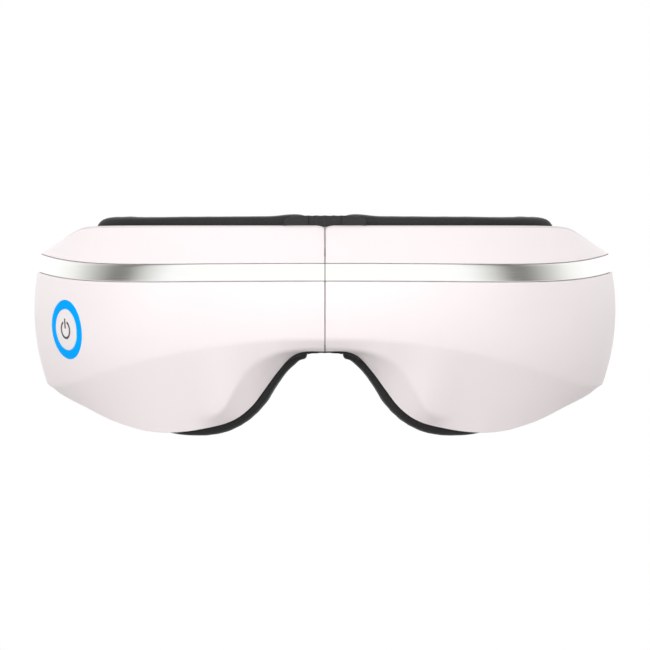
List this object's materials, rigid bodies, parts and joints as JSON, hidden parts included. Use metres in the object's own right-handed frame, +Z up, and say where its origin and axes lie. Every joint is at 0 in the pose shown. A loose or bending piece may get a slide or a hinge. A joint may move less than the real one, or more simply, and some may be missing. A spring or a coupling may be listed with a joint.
{
  "type": "eye massager mask",
  "caption": "Folding eye massager visor: two white shells with silver trim, lit power button, black face cushions, air massage stacks and an elastic head strap.",
  "frame": {"origin": "point between the wearer's eyes, where the mask seats on the face", "axes": "+X to the wearer's left, +Y towards the wearer's face, +Z up"},
  "size_m": [0.1944, 0.0709, 0.0732],
  "materials": {
    "shell_white": "satin white moulded shell",
    "trim_silver": "bright satin silver trim",
    "frame_black": "fine matte black",
    "cushion_black": "soft black protein leather",
    "gusset_black": "soft black silicone",
    "boss_white": "unpainted white moulding",
    "hinge_steel": "brushed",
    "screw_steel": "zinc plated",
    "washer_brass": "plain",
    "ring_blue": "lit translucent blue",
    "cap_white": "satin white",
    "symbol_grey": "printed grey",
    "board_green": "solder mask",
    "chip_black": "moulded epoxy",
    "port_steel": "tin plated",
    "cell_blue": "shrink sleeve",
    "motor_steel": "drawn can",
    "weight_steel": "sintered weight",
    "pump_black": "moulded",
    "rotor_brass": "turned",
    "valve_blue": "moulded coil body",
    "tube_clear": "milky silicone",
    "link_black": "silicone sleeve",
    "airbag_grey": "welded film",
    "plate_grey": "moulded",
    "heater_copper": "polyimide heating film",
    "membrane_black": "stretch mesh",
    "strap_black": "woven elastic"
  },
  "bodies": {
    "right_half": {"right_shell": "shell_white", "right_trim_band": "trim_silver", "right_frame": "frame_black", "right_cushion": "cushion_black", "right_hinge_block": "boss_white", "right_hinge_leaf": "hinge_steel", "hinge_pin": "hinge_steel", "hinge_washers": "washer_brass", "right_hinge_screws": "screw_steel", "right_bosses": "boss_white", "right_frame_screws": "screw_steel", "light_ring": "ring_blue", "tact_switch": "chip_black", "button_board": "board_green", "main_board": "board_green", "main_chips": "chip_black", "usb_c_socket": "port_steel", "right_motor_can": "motor_steel", "right_airbag": "airbag_grey", "right_air_tube": "tube_clear", "right_membrane": "membrane_black", "right_strap_anchor": "frame_black", "strap_band": "strap_black", "bridge_gusset": "gusset_black", "flex_link": "link_black"},
    "left_half": {"left_shell": "shell_white", "left_trim_band": "trim_silver", "left_frame": "frame_black", "left_cushion": "cushion_black", "left_hinge_block": "boss_white", "left_hinge_leaf": "hinge_steel", "left_hinge_screws": "screw_steel", "left_bosses": "boss_white", "left_frame_screws": "screw_steel", "battery_pack": "cell_blue", "pump_motor": "motor_steel", "pump_head": "pump_black", "valve_body": "valve_blue", "speaker": "chip_black", "left_motor_can": "motor_steel", "left_airbag": "airbag_grey", "left_air_tube": "tube_clear", "left_membrane": "membrane_black", "left_strap_anchor": "frame_black"},
    "power_button": {"button_cap": "cap_white", "power_symbol": "symbol_grey"},
    "right_plate": {"right_massage_plate": "plate_grey", "right_heater": "heater_copper"},
    "left_plate": {"left_massage_plate": "plate_grey", "left_heater": "heater_copper"},
    "right_weight": {"right_motor_weight": "weight_steel"},
    "left_weight": {"left_motor_weight": "weight_steel"},
    "pump_spindle": {"pump_rotor": "rotor_brass"},
    "valve_pin": {"valve_plunger": "hinge_steel"},
    "right_slider": {"right_adjuster": "frame_black"},
    "left_slider": {"left_adjuster": "frame_black"}
  },
  "joints": [
    {"name": "bridge_fold", "type": "hinge", "parent": "right_half", "child": "left_half", "pos_m": [0, -0.009, 0], "axis": [0, 0, 1], "range_deg": [0, 90], "deforming": ["bridge_gusset", "flex_link", "strap_band"]},
    {"name": "power_button_press", "type": "slide", "parent": "right_half", "child": "power_button", "axis": [0.861, 0.4964, 0.1111], "range_m": [0, 0.0007], "stiffness_N_per_m": 1200},
    {"name": "right_plate_push", "type": "slide", "parent": "right_half", "child": "right_plate", "axis": [0.276, 0.9611, 0], "range_m": [0, 0.004], "stiffness_N_per_m": 250, "deforming": ["right_airbag", "right_membrane"]},
    {"name": "left_plate_push", "type": "slide", "parent": "left_half", "child": "left_plate", "axis": [-0.276, 0.9611, 0], "range_m": [0, 0.004], "stiffness_N_per_m": 250, "deforming": ["left_airbag", "left_membrane"]},
    {"name": "right_motor_spin", "type": "hinge", "parent": "right_half", "child": "right_weight", "pos_m": [-0.06155, -0.00674, 0.016], "axis": [-0.8325, 0.5541, 0], "continuous": true},
    {"name": "left_motor_spin", "type": "hinge", "parent": "left_half", "child": "left_weight", "pos_m": [0.06155, -0.00674, 0.016], "axis": [0.8325, 0.5541, 0], "continuous": true},
    {"name": "pump_spin", "type": "hinge", "parent": "left_half", "child": "pump_spindle", "pos_m": [0.03886, -0.01692, 0.005], "axis": [0, 0, 1], "continuous": true},
    {"name": "valve_travel", "type": "slide", "parent": "left_half", "child": "valve_pin", "axis": [0, 0, -1], "range_m": [0, 0.001], "stiffness_N_per_m": 200},
    {"name": "right_strap_adjust", "type": "slide", "parent": "right_half", "child": "right_slider", "axis": [1, 0, 0], "range_m": [0, 0.01]},
    {"name": "left_strap_adjust", "type": "slide", "parent": "left_half", "child": "left_slider", "axis": [-1, 0, 0], "range_m": [0, 0.01]}
  ],
  "couplings": [
    {"joint": "left_plate_push", "follows": "right_plate_push", "ratio": 1}
  ]
}
